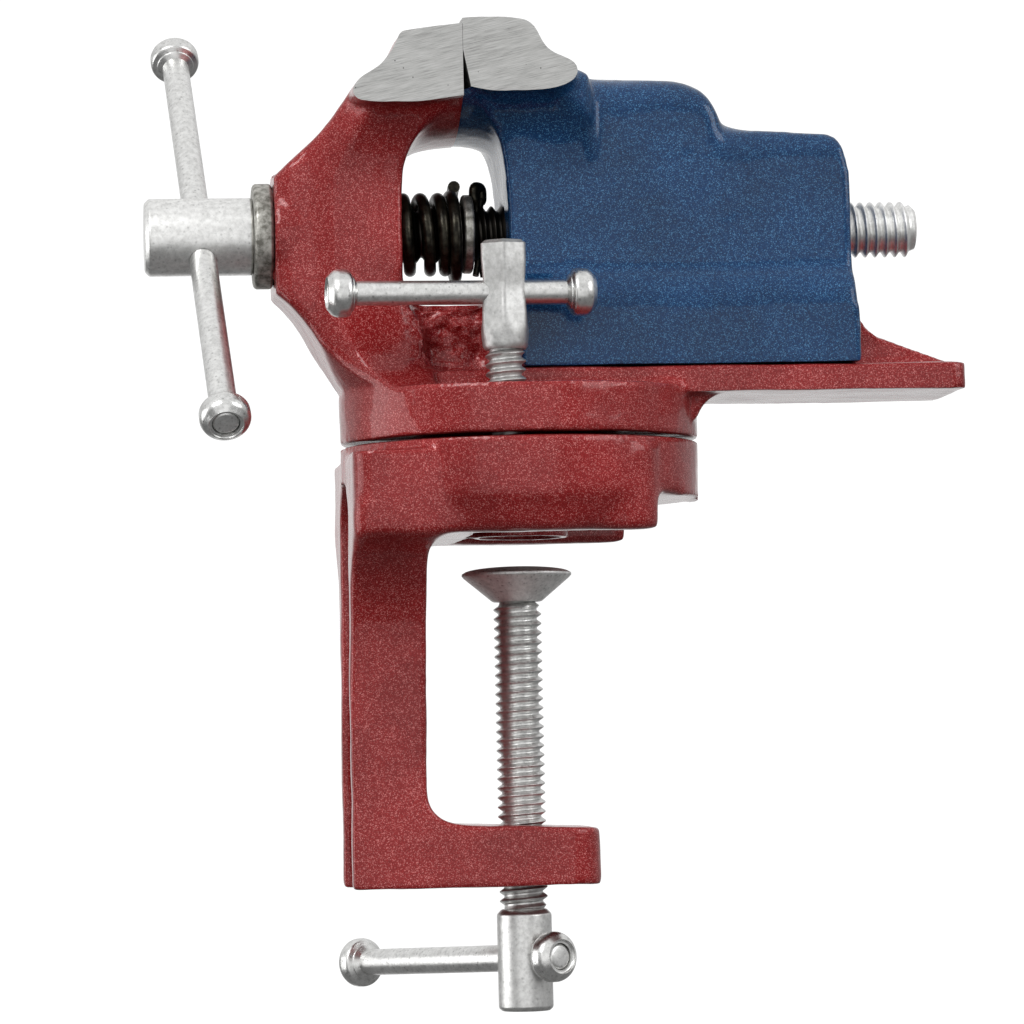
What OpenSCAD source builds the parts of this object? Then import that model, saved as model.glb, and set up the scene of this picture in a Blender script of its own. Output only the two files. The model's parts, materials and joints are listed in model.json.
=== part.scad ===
// Clamp-on swivel bench vise. Millimetres, +Z up.
// The origin is on the swivel axis, in the plane where the table rests on the bench.
// +X runs to the tail, -X to the main handle, -Y to the side with the lock screw.

/* [Swivel] */
// Radius of the lower swivel disc
disc_r = 35.4; // [34:0.1:37]
// Height of the table top above the bench
table_top = 18.3; // [17.5:0.1:19]
// Thickness of the upper swivel disc
upper_disc_t = 9.8; // [9:0.1:10.2]
// Radius of the pivot bolt
pivot_r = 4; // [3.5:0.1:4.5]

/* [Clamp] */
// Half width of the column and the lower arm
arm_half = 15; // [13:0.5:17]
// Height of the throat, from the bench plane down to the lower arm
throat_h = 55.9; // [50:0.1:57]
// Radius of the clamp screw's thread
clamp_r = 4.75; // [4:0.05:5]
// Thread pitch of the clamp screw
clamp_pitch = 1.85; // [1:0.05:2]
// Radius of the pad on the clamp screw
pad_r = 10.9; // [9:0.1:12]

/* [Jaws] */
// Width of the jaws
jaw_w = 50; // [48:1:54]
// Height of the main screw's axis above the bench plane
screw_z = 60.5; // [60:0.1:61]
// Half width of the sliding jaw's foot
foot_half = 18; // [17:0.5:20]
// Wall thickness of the sliding jaw
wall = 4; // [3.5:0.1:4.2]

/* [Main screw] */
// Radius of the main screw's thread
spindle_r = 5.55; // [5:0.05:5.6]
// Thread pitch of the main screw
spindle_pitch = 2; // [1.25:0.05:2.5]
// X of the rear end of the main screw
spindle_end = 80.3; // [70:0.1:85]

/* [Lock screw] */
// Radius of the lock screw's thread
lock_r = 3.95; // [3.5:0.05:4]
// Thread pitch of the lock screw
lock_pitch = 1.75; // [1:0.05:2]

/* [Handles] */
// Radius of the main handle's bar
main_bar_r = 2.7; // [2:0.05:2.8]
// Radius of the clamp handle's bar
clamp_bar_r = 2.65; // [2:0.05:2.8]
// Radius of the lock handle's bar
lock_bar_r = 2.35; // [2:0.05:2.5]
// Lean of the main handle from upright
main_lean = 46; // [0:1:90]
// Lean of the main handle's cross hole toward -X
main_skew = 3.75; // [0:0.25:6]
// Direction of the clamp handle, from +X toward -Y
clamp_turn = 56; // [0:1:90]
// Rise of the clamp handle toward its near knob
clamp_rise = 2; // [0:0.5:3]
// Direction of the lock handle, from -X toward -Y
lock_turn = 4; // [0:1:8]

/* [Hidden] */
$fn = 64;

fit = 0.06;        // radial clearance of every turning or sliding fit
disc_gap = 0.6;    // dark line between the two discs
eps = 0.01;

// Lower casting
disc_bottom = 6.5;
block_half = 30;
block_end = 25;
column_out = -35;
column_in = -20.2;
arm_t = 12.3;
arm_bottom = -throat_h - arm_t;
arm_end = 13.4;
channel_depth = 7;
rib = 5.5;
seat_r = 20;       // raised middle of the table, which carries the upper disc

// Upper casting
disc_z = table_top + disc_gap;
disc_top = disc_z + upper_disc_t;
plate_low = disc_top - 1.5;
plate_top = disc_top + 3.9;
rail_top = 46;
rail_half = 9;
rail_end = 65;
tail_end = 87;
boss_r = 11.9;
boss_x = -47.9;
inner_x = -23.3;   // wall of the fixed jaw that faces the sliding jaw
parting = -11.7;   // plane where the jaws meet
jaw_top = 99.4;
jaw_low = 84.4;

// Sliding jaw
slide_z = plate_top + 0.2;
slide_front = -2.2;
slide_rear = 66.2;
slide_half = 14.5;
rail_gap = 0.4;

// Main screw
head_r = 7.65;
head_x = -73.1;
head_end = -51.8;
cross_x = -62.2;
thread_start = -22;
spring_wire = 1.2;
spring_r = 7.1;
spring_from = inner_x + 0.15;
spring_to = -10.5;
spring_turns = 3.75;
washer_end = -8.4;
pin_x = -7;
pin_r = 1.3;

// Clamp screw
clamp_x = -1;
pad_z = -6.9;
pad_bottom = -12.5;
clamp_hub_top = -72.9;
clamp_hub_end = -92.9;
clamp_hub_r = 5.4;
clamp_bar_z = -82.5;

// Lock screw
lock_x = -5;
lock_y = -27;
lock_hub_z = 35.2;
lock_hub_end = 56.2;
lock_bar_z = 46.2;

// Knobs, and their places along their bars from the screw's axis
knob_r = 5.05;
lock_knob_r = 4.7;
main_up = 59.5;
main_low = 55;
clamp_near = 8.4;
clamp_far = 52;
lock_left = 31.5;
lock_right = 14.8;

// ---- outlines and helpers ----

function bend(a, b, c, n = 10) =
    [for (i = [0:n]) let (t = i / n) (1 - t) * (1 - t) * a + 2 * t * (1 - t) * b + t * t * c];

function arc(c, rx, rz, from, to, n = 16) =
    [for (i = [0:n]) let (t = from + (to - from) * i / n) c + [rx * cos(t), rz * sin(t)]];

// An outline in X and Z, made a slab of the given width in Y
module slab(width) {
    rotate([90, 0, 0]) linear_extrude(width, center = true) children();
}

// An outline in Y and Z, made a bar from x0 to x1
module bar_along_x(x0, x1) {
    translate([x0, 0, 0]) rotate([90, 0, 90]) linear_extrude(x1 - x0) children();
}

// A cylinder along X on the main screw's axis
module on_screw(r, x0, x1) {
    translate([x0, 0, screw_z]) rotate([0, 90, 0]) cylinder(r = r, h = x1 - x0);
}

// A rectangle with corners of radius r0 at its low-X end and r1 at its high-X end
module round_rect(x0, x1, half, r0, r1) {
    polygon(concat(arc([x1 - r1, half - r1], r1, r1, 0, 90, 6),
        arc([x0 + r0, half - r0], r0, r0, 90, 180, 6),
        arc([x0 + r0, r0 - half], r0, r0, 180, 270, 6), arc([x1 - r1, r1 - half], r1, r1, 270, 360, 6)));
}

// A rod along +Z with ridges for its thread and a bevelled tip
module thread(r, pitch, len) {
    root = r - 0.5 * pitch;
    turns = floor((len - 1) / pitch);
    ridges = [for (i = [0:turns - 1]) each [[root, i * pitch], [r, (i + 0.5) * pitch]]];
    rotate_extrude() polygon(concat([[0, 0]], ridges,
        [[root, turns * pitch], [root, len - 0.8], [root - 0.8, len], [0, len]]));
}

// A knob along Z, centred on the origin, pierced for its bar and countersunk at its outer end
module knob(r, len, bar_r) {
    h = len / 2;
    bevel = 0.26 * r;
    difference() {
        rotate_extrude() polygon([[0, -h], [r - 2 * bevel, -h], [r - 0.3 * bevel, -h + bevel],
            [r, -h + 1.5 * bevel], [r, h - 1.4 * bevel], [r - 0.4 * bevel, h - 0.7 * bevel],
            [r - 1.3 * bevel, h], [0, h]]);
        cylinder(r = bar_r, h = 2 * len, center = true);
        translate([0, 0, h - 0.7]) cylinder(r = bar_r + 0.6, h = len);
    }
}

// A handle's bar along Z, with bevelled ends
module handle_bar(r, low, high) {
    end = 0.5;
    rotate_extrude() polygon([[0, -low], [r - end, -low], [r, -low + end], [r, high - end],
        [r - end, high], [0, high]]);
}

module on_main_handle() {
    translate([cross_x, 0, screw_z]) rotate([-main_lean, -main_skew, 0]) children();
}
module on_clamp_handle() {
    translate([clamp_x, 0, clamp_bar_z]) rotate([0, 90 - clamp_rise, -clamp_turn]) children();
}
module on_lock_handle() {
    translate([lock_x, lock_y, lock_bar_z]) rotate([0, 90, 180 + lock_turn]) children();
}

// ---- lower casting ----

module column_outline() {
    fillet = 6.5;
    polygon(concat([[column_out, disc_bottom], [column_out - 0.7, arm_bottom], [arm_end, arm_bottom],
        [arm_end, -throat_h - 1.2], [arm_end - 2, -throat_h - 0.9]],
        bend([column_in + fillet + 1, -throat_h], [column_in - 0.6, -throat_h],
            [column_in - 0.5, -throat_h + fillet]),
        bend([column_in, -5], [column_in, 0], [column_in + 4, eps]),
        [[column_in + 4, disc_bottom]]));
}

// The column widens upward to the table in two hollow curves
module gusset_outline() {
    flare = 30;
    polygon(concat([[-block_half, disc_bottom]],
        bend([-block_half, 0], [-arm_half - 1, -4], [-arm_half, -flare]),
        bend([arm_half, -flare], [arm_half + 1, -4], [block_half, 0]), [[block_half, disc_bottom]]));
}

module clamp_frame() color("firebrick") difference() {
    union() {
        translate([0, 0, disc_bottom]) cylinder(r = disc_r, h = table_top - disc_bottom, $fn = 96);
        cylinder(r = seat_r, h = table_top + disc_gap - 0.08);
        linear_extrude(table_top - 2) round_rect(column_out, block_end, block_half, 5, 7);
        // the sides swell out to the disc
        intersection() {
            cylinder(r1 = block_half + 2.5, r2 = disc_r, h = disc_bottom + 2, $fn = 96);
            translate([column_out, -disc_r, 0]) cube([block_end - column_out, 2 * disc_r, table_top - 2]);
        }
        intersection() {
            slab(2 * block_half) column_outline();
            linear_extrude(4 * throat_h, center = true)
                round_rect(column_out - 1, arm_end, block_half, 5, 1);
            union() {
                translate([0, 0, arm_bottom]) linear_extrude(throat_h + 20)
                    round_rect(column_out - 1, arm_end, arm_half, 1.2, 6);
                bar_along_x(column_out - 1, column_in + 5) gusset_outline();
            }
        }
    }
    // channel under the table, open to +X, with a round boss left for the pivot
    difference() {
        translate([0, 0, -eps]) linear_extrude(channel_depth)
            round_rect(column_in + 4 + rib, block_end + 10, block_half - rib, 4, 4);
        cylinder(r = 9.5, h = 2 * channel_depth);
    }
    translate([0, 0, -eps]) cylinder(r = 7.9, h = channel_depth);
    cylinder(r = pivot_r + fit, h = 40);
    // hollow in the front of the column, open at its foot
    bar_along_x(column_out - 2, column_out + 3.5) {
        translate([-10.5, arm_bottom - 1]) square([21, 70]);
        translate([0, arm_bottom + 69]) circle(10.5);
    }
    translate([clamp_x, 0, arm_bottom - 1]) cylinder(r = clamp_r + fit, h = arm_t + 3);
}

// ---- upper casting ----

// Front of the fixed jaw from the side: nose, boss and the arch under the jaw
module fixed_outline() {
    polygon(concat([[-18, disc_top - 1], [-34.2, disc_top - 1], [-34.2, disc_top], [-36, 30.6]],
        bend([-38.4, 35.2], [-41, 42.5], [boss_x + 1.4, screw_z - boss_r - 1]),
        [[boss_x, screw_z - boss_r]],
        bend([boss_x, screw_z + boss_r - 1.5], [-42.6, 75.6], [-38.9, 79]),
        bend([-38.9, 79], [-35.5, 82.6], [-32.4, 87.4]),
        [[-28, 91], [parting - 1, 94]],
        bend([parting - 0.2, jaw_low - 0.3], [-20.6, 81.6], [inner_x + 0.6, 72]),
        bend([inner_x + 0.6, 72], [inner_x, 66], [inner_x, 60]),
        bend([inner_x, 52], [inner_x + 0.3, rail_top - 1], [-18, rail_top - 4])));
}

// Front of the fixed jaw from the front: wide at the jaw, waisted, wide again at the disc
module fixed_waist() {
    half = jaw_w / 2 - 0.6;
    waist = 14.5;
    side = concat(bend([half, jaw_low + 0.6], [waist + 2, jaw_low - 2], [waist, 70]),
        bend([waist, 46], [waist + 0.5, plate_top], [24, disc_top - 0.5]), [[24, disc_z]]);
    polygon(concat([[-half, jaw_top - 6], [half, jaw_top - 6]], side,
        [for (i = [len(side) - 1:-1:0]) [-side[i][0], side[i][1]]]));
}

// Plan of the fixed jaw: a round nose that widens back to the jaw
module fixed_plan() {
    half = jaw_w / 2 - 0.6;
    side = concat([[boss_x, 9.5]], bend([boss_x + 3, 11.4], [-36, 13], [-30, half - 5]),
        [[-26, half], [-5, half]]);
    polygon(concat(side, [for (i = [len(side) - 1:-1:0]) [side[i][0], -side[i][1]]]));
}

// The foot of the nose widens upward from the rim of the disc
module nose_room() {
    rotate_extrude($fn = 96) polygon([[0, disc_top - 2], [disc_r - 0.4, disc_top - 2],
        [disc_r - 0.4, disc_top], [disc_r + 17, disc_top + 25], [60, 60], [60, jaw_top], [0, jaw_top]]);
}

// End face of the fixed jaw, with the heel that hangs over its back
module fixed_jaw_face() {
    translate([parting, 0]) polygon(concat([[-0.03, jaw_top - 0.3], [-12, jaw_top - 1.9]],
        bend([-12.2, jaw_top - 2], [-13.6, jaw_top - 5.5], [-14.9, jaw_top - 7.2], 6),
        bend([-14.9, jaw_top - 7.2], [-16.5, jaw_top - 9.6], [-18.4, jaw_top - 10.3], 6),
        bend([-18.4, jaw_top - 10.3], [-22.8, jaw_top - 13.2], [-20.6, jaw_top - 15], 8),
        bend([-20.6, jaw_top - 15], [-12, jaw_top - 17], [-0.03, jaw_top - 14.6], 8)));
}

// Cross-section of the rail, narrower at its foot than at its top
module rail_outline(gap = 0) {
    polygon([[-rail_half + 1.4 - gap, plate_top - 1], [-rail_half + 1.4 - gap, plate_top + 4],
        [-rail_half - gap, rail_top - 4], [-rail_half - gap, rail_top + gap],
        [rail_half + gap, rail_top + gap], [rail_half + gap, rail_top - 4],
        [rail_half - 1.4 + gap, plate_top + 4], [rail_half - 1.4 + gap, plate_top - 1]]);
}

module rail() {
    intersection() {
        bar_along_x(inner_x - 2, tail_end) rail_outline();
        slab(4 * rail_half) polygon(concat([[inner_x - 2, plate_top - 1], [inner_x - 2, rail_top],
            [rail_end - 3, rail_top]],
            bend([rail_end + 0.5, rail_top - 1], [rail_end + 4, 38.8], [rail_end + 7, 38.2]),
            [[tail_end - 0.5, plate_top + 0.2], [tail_end - 0.5, plate_top - 1]]));
    }
}

// Tail plate, with a hollow corner where it leaves the disc
module tail() {
    translate([0, 0, plate_low]) linear_extrude(plate_top - plate_low)
        round_rect(-22, tail_end, foot_half, 2.5, 2.5);
    intersection() {
        slab(2 * foot_half - 8) polygon(concat([[10, plate_low + 1], [10, plate_low - 5]],
            bend([disc_r - 1.5, plate_low - 5], [disc_r, plate_low], [disc_r + 5, plate_low + eps]),
            [[disc_r + 5, plate_low + 1]]));
        translate([0, 0, disc_z]) cylinder(r = disc_r + 5, h = 20);
    }
}

module fixed_jaw_body() color("firebrick") difference() {
    union() {
        translate([0, 0, disc_z]) cylinder(r = disc_r, h = upper_disc_t, $fn = 96);
        tail();
        rail();
        intersection() {
            slab(jaw_w + 2) fixed_outline();
            bar_along_x(boss_x - 1, parting + 1) fixed_waist();
            translate([0, 0, disc_z]) linear_extrude(jaw_top) fixed_plan();
            nose_room();
        }
        on_screw(boss_r, boss_x, inner_x);
        slab(jaw_w) fixed_jaw_face();
    }
    on_screw(spindle_r + fit, boss_x - 1, inner_x + 1);
    // room for the spring and the pin over the rail
    on_screw(spring_r + 4.6, inner_x, slide_front);
    translate([0, 0, disc_z - 1]) cylinder(r = pivot_r, h = 16);
    translate([lock_x, lock_y, disc_z - 1]) cylinder(r = lock_r + fit, h = upper_disc_t + 2);
}

module pivot_bolt() color("gray") {
    translate([0, 0, disc_z - 1]) cylinder(r = pivot_r, h = 13);
    translate([0, 0, 4]) cylinder(r = pivot_r, h = disc_z - 4);
    translate([0, 0, 1.6]) cylinder(r = 6.2, h = 3.8, $fn = 6);
}

module pivot_washer() color("gray") translate([0, 0, 5.4]) difference() {
    cylinder(r = 7.4, h = 1.4);
    translate([0, 0, -1]) cylinder(r = pivot_r, h = 4);
}

// ---- sliding jaw ----

// The sliding jaw from the side: arch, sloping top, step, square back and foot
module moving_outline() {
    polygon(concat([[slide_front + 2, slide_z]],
        bend([slide_front + 0.6, 37], [slide_front + 0.1, 48], [slide_front, 64.5]),
        bend([slide_front, 64.5], [slide_front - 0.4, 82], [parting + 1.8, jaw_low + 1]),
        [[parting + 3, 94], [0, 93], [13, 90.4]],
        bend([31, 89.2], [36.8, 88.6], [38.4, 84.8]),
        bend([38.4, 84.8], [40, 80.6], [46, 79.3]), [[56.6, 78.5]],
        bend([60.5, 78.3], [63.6, 78.2], [64.4, 73.8]),
        [[slide_rear - 1.1, 70.8], [slide_rear - 0.7, 46], [slide_rear, 41.2], [slide_rear, slide_z]]));
}

// The sliding jaw from behind: flared foot, upright sides and round shoulders
module moving_waist() {
    half = jaw_w / 2 - 0.6;
    side = concat([[foot_half, slide_z], [foot_half, 44]],
        bend([foot_half, 44], [foot_half - 0.4, 49], [slide_half, 51.5]),
        bend([slide_half, 70], [slide_half + 1.5, jaw_low - 1], [half, jaw_low + 1.6]),
        [[half, jaw_top - 6]]);
    polygon(concat(side, [for (i = [len(side) - 1:-1:0]) [-side[i][0], side[i][1]]]));
}

// Plan of the sliding jaw: as wide as the jaw at its front, then narrow
module moving_plan() {
    half = jaw_w / 2 - 0.6;
    side = concat([[parting + 1, half], [6, half]],
        bend([7.5, half - 1.5], [10, foot_half + 0.5], [16, foot_half]), [[slide_rear, foot_half]]);
    polygon(concat(side, [for (i = [len(side) - 1:-1:0]) [side[i][0], -side[i][1]]]));
}

// A stretch behind the jaw with round shoulders under the given top
module shoulders(x0, x1, top) {
    r = 7;
    half = slide_half;
    bar_along_x(x0, x1) polygon(concat([[-foot_half, slide_z], [foot_half, slide_z],
        [foot_half, 52], [half, 52]], arc([half - r, top - r], r, r, 0, 90, 8),
        arc([-half + r, top - r], r, r, 90, 180, 8), [[-half, 52], [-foot_half, 52]]));
}

module moving_shoulders() {
    shoulders(14, 40, 90);
    shoulders(40 - eps, slide_rear, 80.6);
    translate([parting, -jaw_w / 2, slide_z]) cube([14 - parting, jaw_w, jaw_top - slide_z]);
}

// End face of the sliding jaw; its gripping face leans back from mid height to its foot
module moving_jaw_face() {
    translate([parting, 0]) polygon(concat([[0.03, jaw_top + 0.3], [0.03, jaw_top - 5.8],
        [1.1, jaw_top - 11.4], [1, jaw_top - 12.5], [5.1, jaw_top - 13.6]],
        bend([14, jaw_top - 13.7], [20.4, jaw_top - 13.5], [22.3, jaw_top - 11.2], 6),
        bend([22.3, jaw_top - 11.2], [24, jaw_top - 8.6], [18.9, jaw_top - 6.9], 6),
        bend([18.9, jaw_top - 6.9], [16.2, jaw_top - 6.2], [15.2, jaw_top - 3.8], 6),
        bend([15.2, jaw_top - 3.8], [14.1, jaw_top - 0.2], [11.2, jaw_top + 0.2], 6),
        [[8, jaw_top + 0.5], [3.4, jaw_top + 0.6]]));
}

module moving_jaw() color("royalblue") difference() {
    union() {
        intersection() {
            slab(jaw_w + 2) moving_outline();
            bar_along_x(parting, slide_rear) moving_waist();
            translate([0, 0, slide_z]) linear_extrude(jaw_top) moving_plan();
            moving_shoulders();
        }
        slab(jaw_w) moving_jaw_face();
    }
    // tunnel for the rail, and the hollow over it between the two end walls
    bar_along_x(parting, slide_rear + 1) rail_outline(rail_gap);
    translate([14, -slide_half + wall, rail_top - 1]) cube([slide_rear - wall - 14,
        2 * (slide_half - wall), 75.5 - rail_top]);
    on_screw(spindle_r + fit, parting, 20);
    on_screw(spindle_r + 0.7, 20, slide_rear + 1);
}

// ---- main screw ----

module spindle() color("silver") difference() {
    union() {
        on_screw(head_r, head_x + 0.8, head_end);
        on_screw(head_r - 0.8, head_x, head_x + 1);
        on_screw(spindle_r, head_end - 1, thread_start);
        translate([thread_start, 0, screw_z]) rotate([0, 90, 0])
            thread(spindle_r, spindle_pitch, spindle_end - thread_start);
    }
    on_main_handle() cylinder(r = main_bar_r + fit, h = 30, center = true);
    translate([pin_x, 0, screw_z]) cylinder(r = pin_r + fit, h = 30, center = true);
}

module thrust_washer() color("darkolivegreen") difference() {
    on_screw(10.4, head_end, boss_x - 0.08);
    on_screw(spindle_r + fit, head_end - 1, boss_x + 1);
}

module spring_washer() color("dimgray") difference() {
    on_screw(7.8, spring_to + 0.1, washer_end);
    on_screw(spindle_r + fit, spring_to - 1, washer_end + 1);
}

// Round wire along a right-hand helix that tightens toward the washer. Its last turn climbs
// over the one before, and ends above the screw.
module spindle_spring() color("#202020") {
    sides = 12;
    per_turn = 24;
    steps = round(spring_turns * per_turn);
    climb = spring_turns - 1.15;
    ring = [for (i = [0:steps], k = [0:sides - 1])
        let (t = i / per_turn, a = 360 * (t - spring_turns), b = 360 * k / sides,
            r = spring_r + 2.4 * pow(max(0, t - climb) / 1.15, 0.8) + spring_wire * cos(b),
            x = min(spring_from + spring_wire + 4.75 * t - 0.5 * t * t, spring_to - spring_wire))
        [x + spring_wire * sin(b), -r * sin(a), screw_z + r * cos(a)]];
    caps = [[for (k = [sides - 1:-1:0]) k], [for (k = [0:sides - 1]) steps * sides + k]];
    sides_faces = [for (i = [0:steps - 1], k = [0:sides - 1]) let (j = (k + 1) % sides)
        [i * sides + j, (i + 1) * sides + j, (i + 1) * sides + k, i * sides + k]];
    polyhedron(ring, concat(caps, sides_faces));
}

// Two half-round legs from one flat eye that stands across the screw
module split_pin() color("#303030") translate([pin_x, 0, screw_z]) {
    slot = 0.25;
    difference() {
        translate([0, 0, -9]) cylinder(r = pin_r, h = 15.6);
        translate([-5, -slot / 2, -20]) cube([10, slot, 26]);
    }
    translate([0, 0, 7.9]) rotate([0, 90, 0]) difference() {
        cylinder(r = 2.5, h = 2 * pin_r, center = true);
        cylinder(r = 0.9, h = 4 * pin_r, center = true);
    }
}

module main_handle_bar() color("silver") on_main_handle() {
    handle_bar(main_bar_r, main_low + 2.7, main_up + 2.7);
}
module main_handle_knob_top() color("silver") on_main_handle() {
    translate([0, 0, main_up]) knob(knob_r, 6, main_bar_r);
}
module main_handle_knob_low() color("silver") on_main_handle() {
    translate([0, 0, -main_low]) mirror([0, 0, 1]) knob(knob_r, 6, main_bar_r);
}

// ---- clamp screw ----

module clamp_pad() color("darkgray") translate([clamp_x, 0, 0]) difference() {
    rotate_extrude() polygon(concat([[0, pad_bottom], [5, pad_bottom], [pad_r - 0.5, pad_z - 0.9],
        [pad_r, pad_z - 0.4], [pad_r, pad_z]],
        bend([pad_r - 0.4, pad_z + 0.1], [6, pad_z + 1.3], [0, pad_z + 1.4])));
    translate([0, 0, pad_bottom - 1]) cylinder(r = 3.3 + fit, h = 5);
}

module clamp_screw() color("silver") difference() {
    translate([clamp_x, 0, 0]) {
        translate([0, 0, pad_bottom - 0.1]) cylinder(r = 3.3, h = 3.9);
        translate([0, 0, clamp_hub_top]) thread(clamp_r, clamp_pitch, pad_bottom - 0.1 - clamp_hub_top);
        translate([0, 0, clamp_hub_end]) rotate_extrude() polygon([[0, 0], [clamp_hub_r - 0.6, 0],
            [clamp_hub_r, 0.6], [clamp_hub_r, clamp_hub_top - clamp_hub_end - 0.8],
            [clamp_hub_r - 0.8, clamp_hub_top - clamp_hub_end],
            [0, clamp_hub_top - clamp_hub_end]]);
    }
    on_clamp_handle() cylinder(r = clamp_bar_r + fit, h = 30, center = true);
}

module clamp_handle_bar() color("silver") on_clamp_handle() {
    handle_bar(clamp_bar_r, clamp_far + 2.5, clamp_near + 2.5);
}
module clamp_handle_knob_near() color("silver") on_clamp_handle() {
    translate([0, 0, clamp_near]) knob(knob_r, 5.7, clamp_bar_r);
}
module clamp_handle_knob_far() color("silver") on_clamp_handle() {
    translate([0, 0, -clamp_far]) mirror([0, 0, 1]) knob(knob_r, 5.7, clamp_bar_r);
}

// ---- lock screw ----

module lock_screw() color("silver") difference() {
    waist = lock_bar_z - lock_hub_z;
    tall = lock_hub_end - lock_hub_z;
    union() {
        translate([lock_x, lock_y, lock_hub_z]) rotate_extrude() polygon(concat(
            [[0, 0], [lock_r + 0.1, 0], [4.35, 1.2], [4.8, 4]],
            bend([4.8, waist - 4], [4.35, waist], [4.8, waist + 4]), [[4.8, tall - 0.8],
            [4.2, tall], [0, tall]]));
        translate([lock_x, lock_y, lock_hub_z]) mirror([0, 0, 1])
            thread(lock_r, lock_pitch, lock_hub_z - table_top - 0.2);
    }
    on_lock_handle() cylinder(r = lock_bar_r + fit, h = 30, center = true);
}

module lock_handle_bar() color("silver") on_lock_handle() {
    handle_bar(lock_bar_r, lock_right + 2.5, lock_left + 2.5);
}
module lock_handle_knob_left() color("silver") on_lock_handle() {
    translate([0, 0, lock_left]) knob(lock_knob_r, 5.7, lock_bar_r);
}
module lock_handle_knob_right() color("silver") on_lock_handle() {
    translate([0, 0, -lock_right]) mirror([0, 0, 1]) knob(lock_knob_r, 5.7, lock_bar_r);
}

clamp_frame();
fixed_jaw_body();
pivot_bolt();
pivot_washer();
moving_jaw();
spindle();
thrust_washer();
spindle_spring();
spring_washer();
split_pin();
main_handle_bar();
main_handle_knob_top();
main_handle_knob_low();
clamp_pad();
clamp_screw();
clamp_handle_bar();
clamp_handle_knob_near();
clamp_handle_knob_far();
lock_screw();
lock_handle_bar();
lock_handle_knob_left();
lock_handle_knob_right();
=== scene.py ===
"""Bench vise: cast, ground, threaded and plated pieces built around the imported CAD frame."""
import json
import math
import bmesh
import bpy
from mathutils import Matrix, Vector, noise

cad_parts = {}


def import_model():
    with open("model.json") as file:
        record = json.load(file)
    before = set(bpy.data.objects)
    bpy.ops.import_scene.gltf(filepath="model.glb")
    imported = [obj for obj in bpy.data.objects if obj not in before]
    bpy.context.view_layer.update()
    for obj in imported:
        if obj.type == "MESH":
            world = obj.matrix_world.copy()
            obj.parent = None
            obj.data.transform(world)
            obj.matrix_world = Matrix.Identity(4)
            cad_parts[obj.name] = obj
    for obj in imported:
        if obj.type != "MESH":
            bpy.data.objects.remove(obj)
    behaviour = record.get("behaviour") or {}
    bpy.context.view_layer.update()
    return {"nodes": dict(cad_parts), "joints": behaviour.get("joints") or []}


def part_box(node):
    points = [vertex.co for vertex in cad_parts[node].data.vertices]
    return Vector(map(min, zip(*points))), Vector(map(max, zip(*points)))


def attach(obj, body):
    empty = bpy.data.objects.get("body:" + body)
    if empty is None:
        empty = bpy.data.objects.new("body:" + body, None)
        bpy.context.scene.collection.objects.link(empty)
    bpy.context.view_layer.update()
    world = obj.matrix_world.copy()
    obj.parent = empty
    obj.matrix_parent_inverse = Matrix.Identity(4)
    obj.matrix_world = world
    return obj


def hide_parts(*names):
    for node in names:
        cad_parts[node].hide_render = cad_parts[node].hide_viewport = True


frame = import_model()

MM = 0.001
scene = bpy.context.scene
nodes = frame["nodes"]
joints = {j["name"]: j for j in frame["joints"]}


def centre(node):
    low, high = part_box(node)
    return (low + high) / 2


# Places taken from the frame
screw_z = centre("spindle").z
jaw_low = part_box("fixed_jaw_body")[0]
slide_low, slide_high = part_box("moving_jaw")
jaw_half = slide_high.y
parting = slide_low.x
jaw_top = slide_high.z


# ---------------------------------------------------------------- mesh helpers

def link(mesh, name):
    piece = bpy.data.objects.new(name, mesh)
    scene.collection.objects.link(piece)
    return piece


def new_mesh(name, verts, faces):
    mesh = bpy.data.meshes.new(name)
    mesh.from_pydata(verts, [], faces)
    mesh.update()
    return mesh


def clean(mesh, distance=1e-7):
    bm = bmesh.new()
    bm.from_mesh(mesh)
    bmesh.ops.remove_doubles(bm, verts=bm.verts, dist=distance)
    bmesh.ops.recalc_face_normals(bm, faces=bm.faces)
    bm.to_mesh(mesh)
    bm.free()


def applied(piece):
    """The piece with its modifiers applied."""
    graph = bpy.context.evaluated_depsgraph_get()
    mesh = bpy.data.meshes.new_from_object(piece.evaluated_get(graph))
    piece.modifiers.clear()
    piece.data = mesh
    return piece


def smooth_by_angle(piece, degrees):
    for face in piece.data.polygons:
        face.use_smooth = True
    piece.data.set_sharp_from_angle(angle=math.radians(degrees))


def combine(piece, other, operation):
    """Boolean of two closed pieces; the second one goes away."""
    cut = piece.modifiers.new("cut", "BOOLEAN")
    cut.operation = operation
    cut.object = other
    cut.solver = "MANIFOLD"
    applied(piece)
    bpy.data.objects.remove(other)
    piece.data.materials.clear()
    for face in piece.data.polygons:
        face.material_index = 0
    return piece


def box_piece(low, high):
    corners = [Vector((x, y, z)) for x in (low[0], high[0]) for y in (low[1], high[1])
               for z in (low[2], high[2])]
    faces = [(0, 1, 3, 2), (4, 6, 7, 5), (0, 4, 5, 1), (2, 3, 7, 6), (0, 2, 6, 4), (1, 5, 7, 3)]
    return link(new_mesh("cutter", corners, faces), "cutter")


def soften(outline, radius, steps=4):
    """An open outline of (r, z) points with its inner corners rounded."""
    points = [Vector(p) for p in outline]
    result = [points[0]]
    for before, corner, after in zip(points, points[1:], points[2:]):
        to_before, to_after = before - corner, after - corner
        reach = min(radius, 0.45 * to_before.length, 0.45 * to_after.length)
        start = corner + to_before.normalized() * reach
        end = corner + to_after.normalized() * reach
        for i in range(steps + 1):
            t = i / steps
            result.append((1 - t) ** 2 * start + 2 * t * (1 - t) * corner + t * t * end)
    result.append(points[-1])
    return result


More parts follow.
